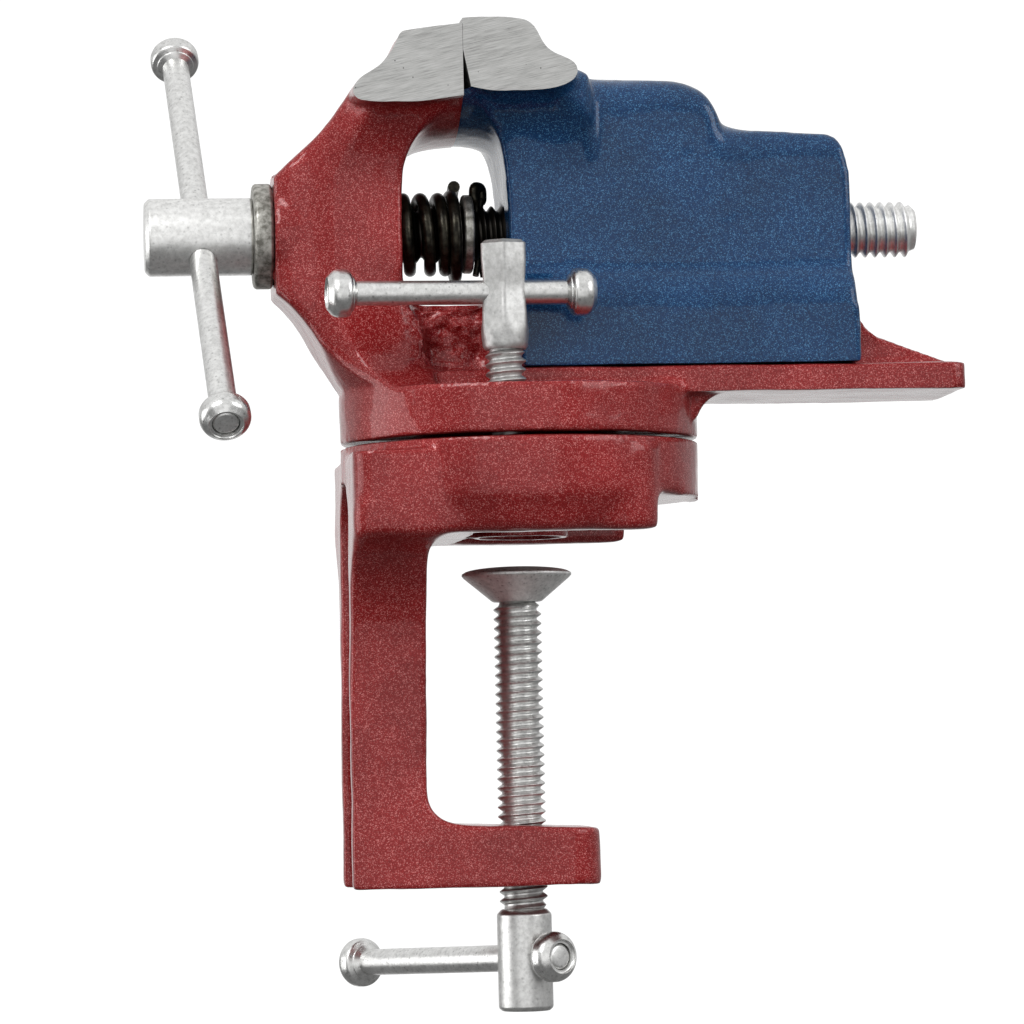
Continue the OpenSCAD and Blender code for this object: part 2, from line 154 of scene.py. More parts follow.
def lathe(name, outline, segments=72, squeeze=None):
    """A closed body of revolution about Z from an outline that starts and ends on the axis."""
    verts, rings = [], []
    for r, z in outline:
        if r < 1e-9:
            rings.append([len(verts)])
            verts.append((0, 0, z))
            continue
        rings.append(list(range(len(verts), len(verts) + segments)))
        for i in range(segments):
            angle = 2 * math.pi * i / segments
            radius = squeeze(r, z, angle) if squeeze else r
            verts.append((radius * math.cos(angle), radius * math.sin(angle), z))
    faces = []
    for lower, upper in zip(rings, rings[1:]):
        for i in range(segments):
            j = (i + 1) % segments
            if len(lower) == 1 and len(upper) > 1:
                faces.append((lower[0], upper[j], upper[i]))
            elif len(upper) == 1 and len(lower) > 1:
                faces.append((lower[i], lower[j], upper[0]))
            elif len(lower) > 1:
                faces.append((lower[i], lower[j], upper[j], upper[i]))
    mesh = new_mesh(name, verts, faces)
    clean(mesh)
    return link(mesh, name)


def threaded_rod(name, r, pitch, length, tip, segments=48):
    """A rod along +Z with a right-hand helical thread, its ends run out to the root."""
    depth = 0.5 * pitch
    section = ((0.0, 0.0), (0.10, 0.04), (0.42, 0.93), (0.50, 1.0), (0.58, 0.93), (0.90, 0.04))
    turns = math.ceil(length / pitch) + 1
    rows = [(turn - 1 + part, rise) for turn in range(turns + 1) for part, rise in section]
    verts = []
    for part, rise in rows:
        for i in range(segments + 1):
            z = pitch * (part + i / segments)
            z_in = min(max(z, 0.0), length)
            fade = min(1.0, z_in / (0.8 * pitch), (length - z_in) / tip)
            radius = r - depth * (1 - rise * max(0.0, fade)) - max(0.0, 0.35 * (tip - (length - z_in)))
            angle = 2 * math.pi * i / segments
            verts.append((radius * math.cos(angle), radius * math.sin(angle), z_in))
    width = segments + 1
    faces = [(k * width + i, k * width + i + 1, (k + 1) * width + i + 1, (k + 1) * width + i)
             for k in range(len(rows) - 1) for i in range(segments)]
    mesh = new_mesh(name, verts, faces)
    bm = bmesh.new()
    bm.from_mesh(mesh)
    bmesh.ops.remove_doubles(bm, verts=bm.verts, dist=1e-6)
    bmesh.ops.dissolve_degenerate(bm, edges=bm.edges, dist=1e-7)
    open_edges = [e for e in bm.edges if e.is_boundary]
    bmesh.ops.holes_fill(bm, edges=open_edges, sides=0)
    bmesh.ops.recalc_face_normals(bm, faces=bm.faces)
    bm.to_mesh(mesh)
    bm.free()
    return link(mesh, name)


def sweep(name, path, radius, sides=16):
    """A closed round wire along a list of points; radius may be a function of the place 0..1."""
    verts, faces = [], []
    side = Vector((1, 0, 0))
    last = len(path) - 1
    for k, point in enumerate(path):
        along = (path[min(k + 1, last)] - path[max(k - 1, 0)]).normalized()
        side = (side - along * side.dot(along)).normalized()
        up = along.cross(side)
        r = radius(k / last) if callable(radius) else radius
        for i in range(sides):
            angle = 2 * math.pi * i / sides
            verts.append(point + r * (math.cos(angle) * side + math.sin(angle) * up))
    for k in range(last):
        for i in range(sides):
            j = (i + 1) % sides
            faces.append((k * sides + i, k * sides + j, (k + 1) * sides + j, (k + 1) * sides + i))
    faces.append(tuple(reversed(range(sides))))
    faces.append(tuple(last * sides + i for i in range(sides)))
    mesh = new_mesh(name, verts, faces)
    clean(mesh)
    return link(mesh, name)


def move(piece, matrix):
    piece.data.transform(matrix)
    return piece


def along(start, direction):
    """Matrix that takes local +Z to a direction from a start point."""
    turn = Vector(direction).to_track_quat("Z", "Y").to_matrix().to_4x4()
    return Matrix.Translation(start) @ turn


def finish_piece(piece, body, slot, material, *replaced, angle=32):
    smooth_by_angle(piece, angle)
    if not piece.data.materials:
        piece.data.materials.append(material)
    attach(piece, body)
    if replaced:
        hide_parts(*replaced)
    return piece


# ---------------------------------------------------------------- materials

class Nodes:
    """Short names for building one node material."""

    def __init__(self, name):
        self.material = bpy.data.materials.new(name)
        self.material.use_nodes = True
        self.tree = self.material.node_tree
        self.tree.nodes.clear()
        self.shader = self.add("ShaderNodeBsdfPrincipled")
        output = self.add("ShaderNodeOutputMaterial")
        self.tree.links.new(self.shader.outputs[0], output.inputs["Surface"])
        self.coords = self.add("ShaderNodeTexCoord").outputs["Object"]

    def add(self, kind, **settings):
        node = self.tree.nodes.new(kind)
        for key, value in settings.items():
            setattr(node, key, value)
        return node

    def feed(self, node, socket, value):
        if isinstance(value, bpy.types.NodeSocket):
            self.tree.links.new(value, node.inputs[socket])
        else:
            node.inputs[socket].default_value = value

    def stretched(self, scale, turn=(0, 0, 0)):
        """Coordinates drawn out by a factor along each axis, in a turned frame."""
        mapping = self.add("ShaderNodeMapping", vector_type="TEXTURE")
        self.feed(mapping, "Vector", self.coords)
        mapping.inputs["Scale"].default_value = scale
        mapping.inputs["Rotation"].default_value = turn
        return mapping.outputs[0]

    def noise(self, size_mm, detail=2.0, roughness=0.5, vector=None):
        node = self.add("ShaderNodeTexNoise")
        self.feed(node, "Vector", vector or self.coords)
        self.feed(node, "Scale", 1000.0 / size_mm)
        self.feed(node, "Detail", detail)
        self.feed(node, "Roughness", roughness)
        return node.outputs["Fac"]

    def cells(self, size_mm, output="Color"):
        node = self.add("ShaderNodeTexVoronoi")
        self.feed(node, "Vector", self.coords)
        self.feed(node, "Scale", 1000.0 / size_mm)
        return node.outputs[output]

    def ramp(self, value, *stops):
        node = self.add("ShaderNodeValToRGB")
        self.feed(node, "Fac", value)
        ramp = node.color_ramp
        while len(ramp.elements) < len(stops):
            ramp.elements.new(0.5)
        for element, (place, colour) in zip(ramp.elements, stops):
            element.position = place
            element.color = (*colour, 1) if isinstance(colour, tuple) else (colour,) * 3 + (1,)
        return node.outputs["Color"]

    def math(self, operation, a, b=0.0):
        node = self.add("ShaderNodeMath", operation=operation)
        self.feed(node, 0, a)
        self.feed(node, 1, b)
        return node.outputs[0]

    def mix(self, factor, a, b, blend="MIX"):
        node = self.add("ShaderNodeMix", data_type="RGBA", blend_type=blend)
        self.feed(node, 0, factor)
        self.feed(node, 6, a if isinstance(a, bpy.types.NodeSocket) else (*a, 1))
        self.feed(node, 7, b if isinstance(b, bpy.types.NodeSocket) else (*b, 1))
        return node.outputs[2]

    def bump(self, height, strength, distance_mm, under=None):
        node = self.add("ShaderNodeBump")
        self.feed(node, "Height", height)
        self.feed(node, "Strength", strength)
        self.feed(node, "Distance", distance_mm * MM)
        if under is not None:
            self.feed(node, "Normal", under)
        return node.outputs[0]

    def set(self, **values):
        for key, value in values.items():
            self.feed(self.shader, key.replace("_", " "), value)
        return self.material


def flake_paint(name, deep, base, bright):
    """Gloss paint full of fine metal flake, over a rough casting."""
    n = Nodes(name)
    grain = n.add("ShaderNodeSeparateColor")
    n.feed(grain, 0, n.cells(0.14))
    colour = n.ramp(grain.outputs[0], (0.10, deep), (0.78, base), (1.0, bright))
    patches = n.ramp(n.noise(16.0, 2.0, 0.5), (0.35, 0.82), (0.65, 1.08))
    colour = n.mix(1.0, colour, patches, "MULTIPLY")
    skin = n.bump(n.noise(11.0, 2.0, 0.5), 0.25, 0.8)
    orange = n.bump(n.noise(1.8, 2.0, 0.5), 0.10, 0.15, skin)
    tilt = n.bump(grain.outputs[1], 0.35, 0.03, orange)
    return n.set(Base_Color=colour, Metallic=0.30, Roughness=0.45, Specular_IOR_Level=0.1,
                 Normal=tilt, Coat_Weight=0.8, Coat_Roughness=0.13, Coat_IOR=1.42, Coat_Normal=orange)


def ground_iron():
    """Iron ground bare, with fine slanted strokes and small pores."""
    n = Nodes("ground_iron")
    strokes = n.noise(1.0, 3.0, 0.68, n.stretched((4.6, 1.0, 0.16), (0, math.radians(-13), 0)))
    coarse = n.noise(4.0, 2.0, 0.5, n.stretched((2.5, 1.0, 0.5), (0, math.radians(-13), 0)))
    pores = n.ramp(n.cells(2.6, "Distance"), (0.035, 0.10), (0.06, 1.0))
    tone = n.ramp(n.math("ADD", n.math("MULTIPLY", strokes, 0.8), n.math("MULTIPLY", coarse, 0.2)),
                  (0.32, (0.23, 0.23, 0.225)), (0.47, (0.44, 0.44, 0.43)), (0.64, (0.57, 0.57, 0.56)))
    colour = n.mix(1.0, tone, pores, "MULTIPLY")
    rough = n.ramp(strokes, (0.3, 0.36), (0.7, 0.52))
    scratch = n.bump(strokes, 0.35, 0.06)
    return n.set(Base_Color=colour, Metallic=0.85, Roughness=rough, Normal=scratch)


def plated(name, tone, rough, pit, stroke=(1.0, 1.0, 1.0), dark_stretch=None):
    """Bright plating with small pits and handling marks, darkened to near black over a given stretch of X.
    """
    n = Nodes(name)
    marks = n.noise(1.1, 4.0, 0.65, n.stretched(stroke))
    stain = n.noise(6.0, 3.0, 0.6)
    pits = n.ramp(n.cells(1.4, "Distance"), (0.10, 0.35), (0.22, 1.0))
    speck = n.ramp(n.noise(0.5, 2.0, 0.6), (0.28, 0.55), (0.42, 1.0))
    low, high = 0.72 * tone, tone
    colour = n.ramp(marks, (0.30, (low, low, 0.98 * low)), (0.62, (high, high, 0.985 * high)))
    colour = n.mix(pit, colour, n.mix(1.0, n.mix(1.0, colour, pits, "MULTIPLY"), speck, "MULTIPLY"))
    if dark_stretch:
        # darkens the colour to near black over the given stretch of X, fading back at its ends
        axis = n.add("ShaderNodeSeparateXYZ")
        n.feed(axis, 0, n.coords)
        place = n.add("ShaderNodeMapRange")
        n.feed(place, "Value", axis.outputs["X"])
        n.feed(place, "From Min", dark_stretch[0])
        n.feed(place, "From Max", dark_stretch[1])
        dark_band = n.ramp(place.outputs[0], (0.0, 0.0), (0.02, 1.0), (0.80, 1.0), (1.0, 0.0))
        colour = n.mix(dark_band, colour, (0.035, 0.032, 0.028))
    roughness = n.math("ADD", n.math("MULTIPLY", stain, 0.22), rough - 0.08)
    dents = n.bump(marks, 0.28, 0.12)
    holes = n.bump(pits, 0.35 * pit, 0.12, dents)
    return n.set(Base_Color=colour, Metallic=1.0, Roughness=roughness, Normal=holes)


def dark_steel(name, low, high, rough):
    """Oiled black or dull steel with worn lighter places."""
    n = Nodes(name)
    wear = n.noise(1.6, 4.0, 0.65)
    colour = n.ramp(wear, (0.38, low), (0.68, high))
    roughness = n.math("ADD", n.math("MULTIPLY", n.noise(3.0), 0.25), rough - 0.1)
    return n.set(Base_Color=colour, Metallic=0.8, Roughness=roughness,
                 Normal=n.bump(n.noise(0.7, 3.0, 0.6), 0.35, 0.1))


red = flake_paint("red_flake_paint", (0.19, 0.004, 0.005), (0.29, 0.012, 0.013), (0.64, 0.21, 0.20))
blue = flake_paint("blue_flake_paint", (0.0, 0.020, 0.072), (0.0, 0.037, 0.130), (0.07, 0.22, 0.41))
iron = ground_iron()
bar_metal = plated("bar_plating", 0.84, 0.32, 0.5)
knob_metal = plated("knob_plating", 0.80, 0.26, 0.45)
hub_metal = plated("screw_plating", 0.76, 0.34, 0.35)
# the screw's threads where they run between and under the jaws are darkened to near black from X -24 mm,
# fading back to bright by 48 mm
darkened_screw_metal = plated("screw_plating_darkened_middle", 0.92, 0.34, 0.35, dark_stretch=(-24 * MM, 48 * MM))
lock_metal = plated("lock_plating", 0.60, 0.44, 0.2)
pad_metal = plated("pad_steel", 0.92, 0.52, 0.5)
olive = dark_steel("olive_steel", (0.16, 0.155, 0.135), (0.58, 0.57, 0.53), 0.45)
black = dark_steel("oiled_black_steel", (0.008, 0.007, 0.005), (0.05, 0.045, 0.032), 0.30)
grey = dark_steel("dull_steel", (0.10, 0.10, 0.095), (0.30, 0.30, 0.29), 0.45)


# ---------------------------------------------------------------- castings

CAST_VOXEL = 0.62 * MM


def cast_copy(node, name, grow=None, fill=None):
    """The CAD node remeshed evenly, with a fill joined to it, ready to be rounded as a sand casting."""
    mesh = nodes[node].data.copy()
    mesh.materials.clear()
    piece = link(mesh, name)
    clean(mesh, 1e-6)
    if grow:
        for vertex in mesh.vertices:
            vertex.co = grow(vertex.co)
    if fill:
        bm = bmesh.new()
        bm.from_mesh(mesh)
        bm.from_mesh(fill)
        bm.to_mesh(mesh)
        bm.free()
    remesh = piece.modifiers.new("remesh", "REMESH")
    remesh.mode = "VOXEL"
    remesh.voxel_size = CAST_VOXEL
    return applied(piece)


def relax(piece, weight, rounds):
    """Rounds edges by weighted smoothing."""
    group = piece.vertex_groups.new(name="relax")
    for vertex in piece.data.vertices:
        amount = weight(vertex.co)
        if amount > 0:
            group.add([vertex.index], amount, "REPLACE")
    smooth = piece.modifiers.new("smooth", "SMOOTH")
    smooth.factor = 0.5
    smooth.iterations = rounds
    smooth.vertex_group = "relax"
    applied(piece)
    piece.vertex_groups.clear()
    return piece


def ramp01(value, low, high):
    """0 below low, 1 above high, and a smooth rise between them."""
    t = min(max((value - low) / (high - low), 0.0), 1.0)
    return t * t * (3 - 2 * t)


def within(value, rise_from, rise_to, fall_from, fall_to):
    """1 inside a stretch whose ends are given in mm, easing to 0 outside it."""
    risen = ramp01(value, rise_from * MM, rise_to * MM)
    return risen * (1 - ramp01(value, fall_from * MM, fall_to * MM))


def cast_skin(piece, node, swell, grain, keep=None, extra=None):
    """Uneven cast surface: a slow swell and a fine grain, none where keep says machined."""
    low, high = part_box(node)
    offsets = []
    for vertex in piece.data.vertices:
        p, n = vertex.co, vertex.normal
        slow = noise.noise(p * 95.0) - 0.35
        fine = noise.noise(p * 520.0 + Vector((3, 7, 1)))
        amount = swell * slow + grain * fine
        if keep:
            amount *= keep(p)
        if extra:
            amount += extra(p, n)
        offsets.append(n * amount)
    for vertex, offset in zip(piece.data.vertices, offsets):
        p = vertex.co + offset
        for k in range(3):
            p[k] = min(max(p[k], low[k]), high[k]) if low[k] < vertex.co[k] < high[k] else p[k]
        vertex.co = p


def bend(a, b, c, steps):
    """Points along a smooth bend from a to c that turns toward b."""
    a, b, c = Vector(a), Vector(b), Vector(c)
    return [(1 - t) ** 2 * a + 2 * t * (1 - t) * b + t * t * c
            for t in (i / steps for i in range(steps + 1))]


def web(outline):
    """
    A fill under the jaw's arch, from an outline of (x, z) in mm. It hangs lower at its middle, from
    the draft of the mould, and its sides follow the waist of the casting up to the full jaw width.
    """
    rows, thick = 24, 2.5
    shelf, sag = 76.4, 0.78
    waist_z, waist_half, flare, flare_tall = 68, 13.6, 9.4, 17
    bm = bmesh.new()
    sections = []
    for j in range(rows + 1):
        across = 2 * j / rows - 1
        drop = sag * (1 - across ** 2)
        low, high = [], []
        for x, z in outline:
            y = across * (waist_half + flare * max(0.0, (z - waist_z) / flare_tall) ** 2.4)
            low.append((x, y, z - drop * max(0.0, z - shelf)))
            high.insert(0, (x, y, z + thick))
        sections.append([bm.verts.new(MM * Vector(point)) for point in low + high])
    for one, two in zip(sections, sections[1:]):
        for i in range(len(one)):
            k = (i + 1) % len(one)
            bm.faces.new((one[i], one[k], two[k], two[i]))
    bm.faces.new(sections[0])
    bm.faces.new(list(reversed(sections[-1])))
    bmesh.ops.recalc_face_normals(bm, faces=bm.faces)
    mesh = bpy.data.meshes.new("web")
    bm.to_mesh(mesh)
    bm.free()
    return mesh


def bare_faces(piece, tests):
    """Gives the second material to the faces that lie on a ground plane."""
    for face in piece.data.polygons:
        if any(test(face.center, face.normal) for test in tests):
            face.material_index = 1


ALLOWANCE = 1.6 * MM
jaw_zone = jaw_top - 18.5 * MM


def grow_jaw(sign):
    """Casting allowance on the jaw's ends and gripping face, which the cuts take off."""
    def grown(p):
        p = p.copy()
        if p.z > jaw_zone:
            if abs(p.y) > jaw_half - 0.2 * MM:
                p.y += math.copysign(ALLOWANCE, p.y)
            if sign * (p.x - parting) < 1.5 * MM and abs(p.x - parting) < 2 * MM:
                p.x -= sign * ALLOWANCE
        return p
    return grown


def jaw_ends(piece):
    for side in (-1, 1):
        low = Vector((jaw_low.x, jaw_half if side > 0 else -2 * jaw_half, jaw_zone - 2 * MM))
        high = Vector((slide_high.x, 2 * jaw_half if side > 0 else -jaw_half, jaw_top + 9 * MM))
        combine(piece, box_piece(low, high), "DIFFERENCE")


def hollow(p):
    """Depth of the rough hollow under the screw, on the side that faces the lock screw."""
    if p.y > -6 * MM:
        return 0.0
    inside = within(p.x, -25, -18, -9, -6) * within(p.z, 31, 36, 44, 49)
    rough = noise.noise(p * 330) + 0.6 * noise.noise(p * 800)
    return inside * (1.3 + 0.8 * rough) * MM


def fixed_jaw():
    arch = [(-10.2, 84.1)] + bend((-11.9, 84.1), (-20.6, 81.6), (-22.7, 72), 12) + [(-23.6, 71)]
    piece = cast_copy("fixed_jaw_body", "fixed_jaw_casting", grow_jaw(-1), web(arch))
    disc_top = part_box("clamp_frame")[1].z + 9.9 * MM

    def weight(p):
        body = ramp01(p.z, disc_top + 1.5 * MM, disc_top + 5 * MM)
        front = 1 - ramp01(p.x, -26 * MM, -16 * MM) * (1 - ramp01(p.z, jaw_zone - 6 * MM, jaw_zone))
        return 0.35 + 0.65 * body * front

    def under_screw(p):
        return (p.y < 0) * within(p.x, -28, -22, -11, -7) * within(p.z, 31, 35, 49, 54)

    def nose_and_hollow(p, n):
        nose = ramp01(p.z, 34 * MM, 40 * MM) * (1 - ramp01(p.x, -30 * MM, -24 * MM))
        return 0.4 * MM * nose - hollow(p)

    relax(piece, weight, 14)
    relax(piece, under_screw, 60)
    cast_skin(piece, "fixed_jaw_body", 0.22 * MM, 0.045 * MM, None, nose_and_hollow)
    jaw_ends(piece)
    face = parting - 0.06 * MM
    grip = box_piece((face, -2 * jaw_half, jaw_zone - 6 * MM),
                     (face + 9 * MM, 2 * jaw_half, jaw_top + 9 * MM))
    combine(piece, grip, "DIFFERENCE")
    piece.data.materials.append(red)
    piece.data.materials.append(iron)
    flat = 1e-5
    bare_faces(piece, [
        lambda c, n: abs(abs(c.y) - jaw_half) < flat and abs(n.y) > 0.99 and c.z > jaw_zone - 3 * MM,
        lambda c, n: abs(c.x - face) < flat and n.x > 0.99 and c.z > jaw_zone - 3 * MM,
        lambda c, n: n.z > 0.93 and c.z > jaw_top - 3.4 * MM])
    return finish_piece(piece, "upper", "red_paint_body", red, "fixed_jaw_body", angle=38)


def sliding_jaw():
    arch = [(-1.2, 72)] + bend((-2.2, 64.5), (-2.6, 82), (-9.9, 85.4), 16)[6:] + [(-13.2, 85.4)]
    piece = cast_copy("moving_jaw", "sliding_jaw_casting", grow_jaw(1), web(arch))

    def weight(p):
        high = ramp01(p.z, slide_low.z + 3 * MM, slide_low.z + 9 * MM)
        return 0.3 + 0.7 * high

    def heel(p):
        side = ramp01(abs(p.y), 13 * MM, 16 * MM)
        return within(p.x, 2, 6, 18, 24) * side * ramp01(p.z, 52 * MM, 60 * MM)

    def back_step(p):
        return within(p.x, 31, 35, 43, 48) * ramp01(p.z, 70 * MM, 75 * MM)

    relax(piece, weight, 14)
    relax(piece, heel, 40)
    relax(piece, back_step, 70)
    cast_skin(piece, "moving_jaw", 0.22 * MM, 0.045 * MM, None, lambda p, n: 0.15 * MM)
    jaw_ends(piece)
    # the gripping face is upright at its top and leans back toward its foot
    at = Vector((parting, 0, jaw_top - 6.4 * MM))
    upright = box_piece((parting - 9 * MM, -2 * jaw_half, jaw_zone - 6 * MM),
                        (parting, 2 * jaw_half, jaw_top + 9 * MM))
    combine(piece, upright, "DIFFERENCE")
    leaning = box_piece((parting - 9 * MM, -2 * jaw_half, at.z - 7.4 * MM), (parting, 2 * jaw_half, at.z))
    lean = Matrix.Rotation(-math.atan2(1.1, 5.6), 4, "Y")
    move(leaning, Matrix.Translation(at) @ lean @ Matrix.Translation(-at))
    combine(piece, leaning, "DIFFERENCE")
    piece.data.materials.append(blue)
    piece.data.materials.append(iron)
    flat = 1e-5
    bare_faces(piece, [
        lambda c, n: abs(abs(c.y) - jaw_half) < flat and abs(n.y) > 0.99 and c.z > jaw_zone - 3 * MM,
        lambda c, n: n.x < -0.97 and c.z > jaw_zone + 4 * MM and c.x < parting + 2 * MM,
        lambda c, n: n.z > 0.93 and c.z > jaw_top - 3.4 * MM])
    return finish_piece(piece, "sliding_jaw", "blue_paint", blue, "moving_jaw", angle=38)


def lower_casting():
    piece = cast_copy("clamp_frame", "clamp_frame_casting")
    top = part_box("clamp_frame")[1].z

    def weight(p):
        return 1.0 - 0.6 * ramp01(p.z, -4 * MM, 4 * MM)

    def table_side(p):
        return ramp01(abs(p.y), 17 * MM, 22 * MM) * within(p.z, -4, 0, 11, 16)

    relax(piece, weight, 12)
    relax(piece, table_side, 50)
    cast_skin(piece, "clamp_frame", 0.20 * MM, 0.04 * MM,
              lambda p: 1.0 - ramp01(p.z, top - 1.5 * MM, top - 0.5 * MM))
    return finish_piece(piece, "frame", "red_paint", red, "clamp_frame", angle=38)


lower_casting()
fixed_jaw()
sliding_jaw()


# ---------------------------------------------------------------- screws and handles

def radius_of(node, axis="y"):
    low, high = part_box(node)
    return getattr(high - low, axis) / 2


def pierce(piece, at, direction, radius):
    """Drills a hole right through a piece."""
    reach = 25 * MM
    drill = lathe("drill", [(0, -reach), (radius, -reach), (radius, reach), (0, reach)], 48)
    return combine(piece, move(drill, along(at, direction)), "DIFFERENCE")


def handle_axis(joint):
    return Vector(joints[joint]["axis"]).normalized()


BAR = {"main": 2.7 * MM, "clamp": 2.65 * MM, "lock": 2.35 * MM}
HOLE_FIT = 0.06 * MM
main_hub = Vector((-62.2 * MM, 0, screw_z))
clamp_hub = Vector((centre("clamp_screw").x, 0, -82.5 * MM))
THREAD = {"spindle": (5.55 * MM, 2.0 * MM), "clamp_screw": (4.75 * MM, 1.85 * MM),
          "lock_screw": (3.95 * MM, 1.75 * MM)}


def main_screw():
    low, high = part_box("spindle")
    r_head = radius_of("spindle")
    r, pitch = THREAD["spindle"]
    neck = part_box("thrust_washer")[0].x
    start = -22 * MM
    outline = soften([(0, 0), (r_head - 0.9 * MM, 0), (r_head, 0.9 * MM), (r_head, neck - low.x - 0.4 * MM),
                      (r_head - 0.4 * MM, neck - low.x), (r, neck - low.x), (r, start - low.x + 0.5 * MM),
                      (r - 1.2 * MM, start - low.x + 1.2 * MM), (0, start - low.x + 1.2 * MM)], 0.3 * MM)
    piece = move(lathe("main_screw", outline, 96), along(Vector((low.x, 0, screw_z)), (1, 0, 0)))
    rod = threaded_rod("rod", r, pitch, high.x - start, 1.6 * MM)
    combine(piece, move(rod, along(Vector((start, 0, screw_z)), (1, 0, 0))), "UNION")
    pierce(piece, main_hub, handle_axis("main_handle_slide"), BAR["main"] + HOLE_FIT)
    pin = centre("split_pin")
    pierce(piece, Vector((pin.x, 0, screw_z)), (0, 0, 1), 1.36 * MM)
    return finish_piece(piece, "main_screw", "screw_steel", darkened_screw_metal, "spindle")


def clamping_screw():
    low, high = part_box("clamp_screw")
    r, pitch = THREAD["clamp_screw"]
    r_hub = radius_of("clamp_screw")
    middle = centre("clamp_screw").x
    hub_top = 20 * MM
    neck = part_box("clamp_pad")[0].z
    outline = soften([(0, 0), (r_hub - 0.7 * MM, 0), (r_hub, 0.7 * MM), (r_hub, hub_top - 1.0 * MM),
                      (r_hub - 1.0 * MM, hub_top), (0, hub_top)], 0.35 * MM)
    piece = move(lathe("clamping_screw", outline, 96), Matrix.Translation((middle, 0, low.z)))
    rod = threaded_rod("rod", r, pitch, neck - low.z - hub_top + 0.3 * MM, 1.0 * MM)
    combine(piece, move(rod, Matrix.Translation((middle, 0, low.z + hub_top - 0.3 * MM))), "UNION")
    tip = lathe("tip", [(0, 0), (3.3 * MM, 0), (3.3 * MM, high.z - neck + 1 * MM),
                        (0, high.z - neck + 1 * MM)], 48)
    combine(piece, move(tip, Matrix.Translation((middle, 0, neck - 1 * MM))), "UNION")
    pierce(piece, clamp_hub, handle_axis("clamp_handle_slide"), BAR["clamp"] + HOLE_FIT)
    return finish_piece(piece, "clamp_screw_body", "screw_steel", hub_metal, "clamp_screw")


def locking_screw():
    low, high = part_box("lock_screw")
    r, pitch = THREAD["lock_screw"]
    middle = centre("lock_screw")
    bar = centre("lock_handle_bar")
    tall = 21 * MM
    foot = high.z - tall
    waist = bar.z - foot
    half = radius_of("lock_screw")

    def pressed(radius, z, angle):
        """Six flats pressed into the shank, with an edge toward the side of the vise."""
        step = math.pi / 3
        off = (angle - math.radians(264)) % step - step / 2
        flat = radius * min(1.0, 0.9 / math.cos(off))
        depth = ramp01(z, 2.0 * MM, 6 * MM)
        return radius + (flat - radius) * depth

    steps = 26
    outline = [(0, 0), (r + 0.05 * MM, 0)]
    for i in range(steps + 1):
        z = 0.6 * MM + (tall - 1.3 * MM) * i / steps
        swell = half * (0.90 + 0.10 * ramp01(z, 0, 5 * MM))
        pinch = 0.085 * math.exp(-((z - waist - 0.8 * MM) / (3.4 * MM)) ** 2)
        outline.append((swell * (1 - pinch), z))
    outline += [(half - 0.9 * MM, tall), (0, tall)]
    place = Matrix.Translation((middle.x, middle.y, foot))
    piece = move(lathe("locking_screw", outline, 96, pressed), place)
    length = foot - low.z + 0.4 * MM
    rod = threaded_rod("rod", r, pitch, length, 1.0 * MM)
    turn_over = Matrix.Rotation(math.pi, 4, "X")
    move(rod, Matrix.Translation((middle.x, middle.y, foot + 0.4 * MM)) @ turn_over)
    combine(piece, rod, "UNION")
    hub = Vector((middle.x, middle.y, bar.z))
    pierce(piece, hub, handle_axis("lock_handle_slide"), BAR["lock"] + HOLE_FIT)
    return finish_piece(piece, "lock_screw_body", "lock_nickel", lock_metal, "lock_screw")


def handle(body, joint, hub, bar_node, knob_nodes, r_bar, r_knob, length):
    """A sliding bar with its two pressed-on knobs, from the CAD's own places."""
    axis = handle_axis(joint)
    spots = [(v.co - hub).dot(axis) for v in nodes[bar_node].data.vertices]
    low, high = min(spots), max(spots)
    outline = soften([(0, low), (r_bar - 0.5 * MM, low + 0.15 * MM), (r_bar, low + 0.7 * MM),
                      (r_bar, high - 0.7 * MM), (r_bar - 0.5 * MM, high - 0.15 * MM), (0, high)], 0.4 * MM)
    bar = move(lathe(bar_node + "_turned", outline, 64), along(hub, axis))
    finish_piece(bar, body, "bar_nickel", bar_metal, bar_node)
    for node in knob_nodes:
        place = (centre(node) - hub).dot(axis)
        out = 1 if place > 0 else -1
        h, bevel = length / 2, 0.26 * r_knob
        ring = soften([(r_bar, -h), (r_knob - 2.0 * bevel, -h), (r_knob - 0.95 * bevel, -h + 0.6 * bevel),
                       (r_knob - 0.95 * bevel, -h + 0.75 * bevel), (r_knob - 0.2 * bevel, -h + 1.1 * bevel),
                       (r_knob, -h + 1.6 * bevel), (r_knob, h - 1.5 * bevel),
                       (r_knob - 0.3 * bevel, h - 0.8 * bevel), (r_knob - 1.25 * bevel, h),
                       (r_bar + 0.75 * MM, h), (r_bar + 0.6 * MM, h - 0.6 * MM), (r_bar, h - 0.6 * MM)],
                      0.42 * MM)
        ring.append(ring[0])
        knob = ring_piece(node + "_turned", ring)
        move(knob, along(hub + axis * place, axis * out))
        finish_piece(knob, body, "knob_nickel", knob_metal, node)


def ring_piece(name, outline, segments=72):
    """A closed ring about Z from a closed outline of (r, z)."""
    verts = [(r * math.cos(2 * math.pi * i / segments), r * math.sin(2 * math.pi * i / segments), z)
             for r, z in outline[:-1] for i in range(segments)]
    count = len(outline) - 1
    faces = []
    for k in range(count):
        for i in range(segments):
            j = (i + 1) % segments
            a, b = k * segments, ((k + 1) % count) * segments
            faces.append((a + i, a + j, b + j, b + i))
    mesh = new_mesh(name, verts, faces)
    clean(mesh)
    return link(mesh, name)


main_screw()
clamping_screw()
locking_screw()

